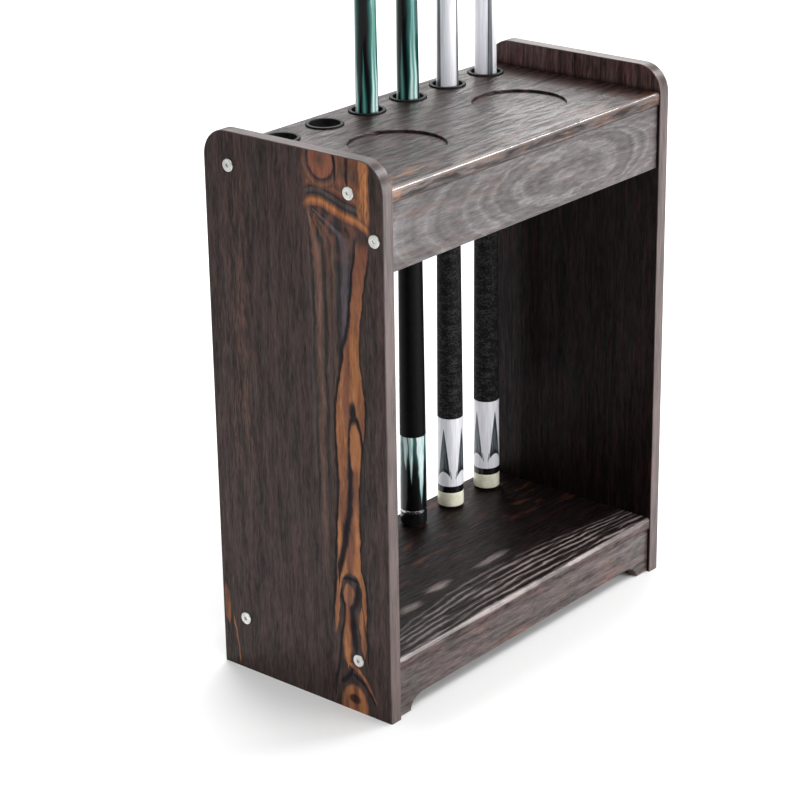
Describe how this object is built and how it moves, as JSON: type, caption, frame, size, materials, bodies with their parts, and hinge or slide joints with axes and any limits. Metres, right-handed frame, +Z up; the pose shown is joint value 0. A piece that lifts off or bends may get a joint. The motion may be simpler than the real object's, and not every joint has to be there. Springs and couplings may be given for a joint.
{
  "type": "pool cue rack set",
  "caption": "Two-piece pool cues standing butt down in a wooden floor rack with ringed holes and round recesses in its top board and an open compartment over a base shelf.",
  "frame": {"origin": "on the floor, under the middle of the rack's footprint", "axes": "+X to the rack's right seen from its front, -Y out of its open front, +Z up along the cues"},
  "size_m": [0.4828, 0.236, 1.541],
  "materials": {
    "rack_wood": "dark stained oak-grain board under satin lacquer",
    "edge_band": "lighter satin edge strip",
    "grommet_plastic": "black gloss",
    "screw_steel": "bright zinc plate",
    "dowel_wood": "plain beech",
    "bumper_rubber": "matt black",
    "weight_steel": "plain steel",
    "black_cap": "black gloss",
    "cream_cap": "cream gloss",
    "silver_ring": "polished",
    "black_ring": "black gloss",
    "teal_lacquer": "teal, white and black flames under gloss lacquer",
    "white_lacquer": "pearl white with dark points under gloss lacquer",
    "leather_wrap": "smooth black leather",
    "linen_wrap": "charcoal linen, pressed",
    "pin_steel": "ground steel",
    "maple": "clear satin maple",
    "ferrule_white": "white, polished",
    "tip_leather": "pressed brown leather, chalked blue"
  },
  "bodies": {
    "rack": {"left_side_panel": "rack_wood", "right_side_panel": "rack_wood", "panel_edge_bands": "edge_band", "top_board": "rack_wood", "bottom_shelf": "rack_wood", "front_apron": "rack_wood", "kick_board": "rack_wood", "cue_hole_grommets": "grommet_plastic", "left_panel_screws": "screw_steel", "right_panel_screws": "screw_steel", "apron_dowels": "dowel_wood", "kick_board_dowels": "dowel_wood"},
    "teal_cue_1_butt": {"teal_cue_1_bumper": "bumper_rubber", "teal_cue_1_weight_bolt": "weight_steel", "teal_cue_1_butt_cap": "black_cap", "teal_cue_1_cap_ring": "silver_ring", "teal_cue_1_butt_sleeve": "teal_lacquer", "teal_cue_1_wrap": "leather_wrap", "teal_cue_1_forearm": "teal_lacquer", "teal_cue_1_joint_pin": "pin_steel"},
    "teal_cue_1_collar": {"teal_cue_1_shaft_collar": "black_ring"},
    "teal_cue_1_shaft": {"teal_cue_1_shaft": "maple", "teal_cue_1_ferrule": "ferrule_white", "teal_cue_1_tip": "tip_leather"},
    "teal_cue_2_butt": {"teal_cue_2_bumper": "bumper_rubber", "teal_cue_2_weight_bolt": "weight_steel", "teal_cue_2_butt_cap": "black_cap", "teal_cue_2_cap_ring": "silver_ring", "teal_cue_2_butt_sleeve": "teal_lacquer", "teal_cue_2_wrap": "leather_wrap", "teal_cue_2_forearm": "teal_lacquer", "teal_cue_2_joint_pin": "pin_steel"},
    "teal_cue_2_collar": {"teal_cue_2_shaft_collar": "black_ring"},
    "teal_cue_2_shaft": {"teal_cue_2_shaft": "maple", "teal_cue_2_ferrule": "ferrule_white", "teal_cue_2_tip": "tip_leather"},
    "white_cue_1_butt": {"white_cue_1_bumper": "bumper_rubber", "white_cue_1_weight_bolt": "weight_steel", "white_cue_1_butt_cap": "cream_cap", "white_cue_1_cap_ring": "black_ring", "white_cue_1_butt_sleeve": "white_lacquer", "white_cue_1_wrap": "linen_wrap", "white_cue_1_forearm": "white_lacquer", "white_cue_1_joint_pin": "pin_steel"},
    "white_cue_1_collar": {"white_cue_1_shaft_collar": "black_ring"},
    "white_cue_1_shaft": {"white_cue_1_shaft": "maple", "white_cue_1_ferrule": "ferrule_white", "white_cue_1_tip": "tip_leather"},
    "white_cue_2_butt": {"white_cue_2_bumper": "bumper_rubber", "white_cue_2_weight_bolt": "weight_steel", "white_cue_2_butt_cap": "cream_cap", "white_cue_2_cap_ring": "black_ring", "white_cue_2_butt_sleeve": "white_lacquer", "white_cue_2_wrap": "linen_wrap", "white_cue_2_forearm": "white_lacquer", "white_cue_2_joint_pin": "pin_steel"},
    "white_cue_2_collar": {"white_cue_2_shaft_collar": "black_ring"},
    "white_cue_2_shaft": {"white_cue_2_shaft": "maple", "white_cue_2_ferrule": "ferrule_white", "white_cue_2_tip": "tip_leather"}
  },
  "joints": [
    {"name": "teal_cue_1_lift", "type": "slide", "parent": "rack", "child": "teal_cue_1_butt", "axis": [0, 0, 1], "range_m": [0, 0.56]},
    {"name": "teal_cue_1_screw_travel", "type": "slide", "parent": "teal_cue_1_butt", "child": "teal_cue_1_collar", "axis": [0, 0, 1], "range_m": [0, 0.024]},
    {"name": "teal_cue_1_unscrew", "type": "hinge", "parent": "teal_cue_1_collar", "child": "teal_cue_1_shaft", "pos_m": [-0.0209, 0.089, 0.8045], "axis": [0, 0, 1], "range_deg": [0, 1081]},
    {"name": "teal_cue_2_lift", "type": "slide", "parent": "rack", "child": "teal_cue_2_butt", "axis": [0, 0, 1], "range_m": [0, 0.56]},
    {"name": "teal_cue_2_screw_travel", "type": "slide", "parent": "teal_cue_2_butt", "child": "teal_cue_2_collar", "axis": [0, 0, 1], "range_m": [0, 0.024]},
    {"name": "teal_cue_2_unscrew", "type": "hinge", "parent": "teal_cue_2_collar", "child": "teal_cue_2_shaft", "pos_m": [0.0469, 0.089, 0.8045], "axis": [0, 0, 1], "range_deg": [0, 1081]},
    {"name": "white_cue_1_lift", "type": "slide", "parent": "rack", "child": "white_cue_1_butt", "axis": [0, 0, 1], "range_m": [0, 0.56]},
    {"name": "white_cue_1_screw_travel", "type": "slide", "parent": "white_cue_1_butt", "child": "white_cue_1_collar", "axis": [0, 0, 1], "range_m": [0, 0.024]},
    {"name": "white_cue_1_unscrew", "type": "hinge", "parent": "white_cue_1_collar", "child": "white_cue_1_shaft", "pos_m": [0.1147, 0.089, 0.8045], "axis": [0, 0, 1], "range_deg": [0, 1081]},
    {"name": "white_cue_2_lift", "type": "slide", "parent": "rack", "child": "white_cue_2_butt", "axis": [0, 0, 1], "range_m": [0, 0.56]},
    {"name": "white_cue_2_screw_travel", "type": "slide", "parent": "white_cue_2_butt", "child": "white_cue_2_collar", "axis": [0, 0, 1], "range_m": [0, 0.024]},
    {"name": "white_cue_2_unscrew", "type": "hinge", "parent": "white_cue_2_collar", "child": "white_cue_2_shaft", "pos_m": [0.1825, 0.089, 0.8045], "axis": [0, 0, 1], "range_deg": [0, 1081]}
  ],
  "couplings": [
    {"joint": "teal_cue_1_unscrew", "follows": "teal_cue_1_screw_travel", "rad_per_m": 785.4},
    {"joint": "teal_cue_2_unscrew", "follows": "teal_cue_2_screw_travel", "rad_per_m": 785.4},
    {"joint": "white_cue_1_unscrew", "follows": "white_cue_1_screw_travel", "rad_per_m": 785.4},
    {"joint": "white_cue_2_unscrew", "follows": "white_cue_2_screw_travel", "rad_per_m": 785.4}
  ]
}
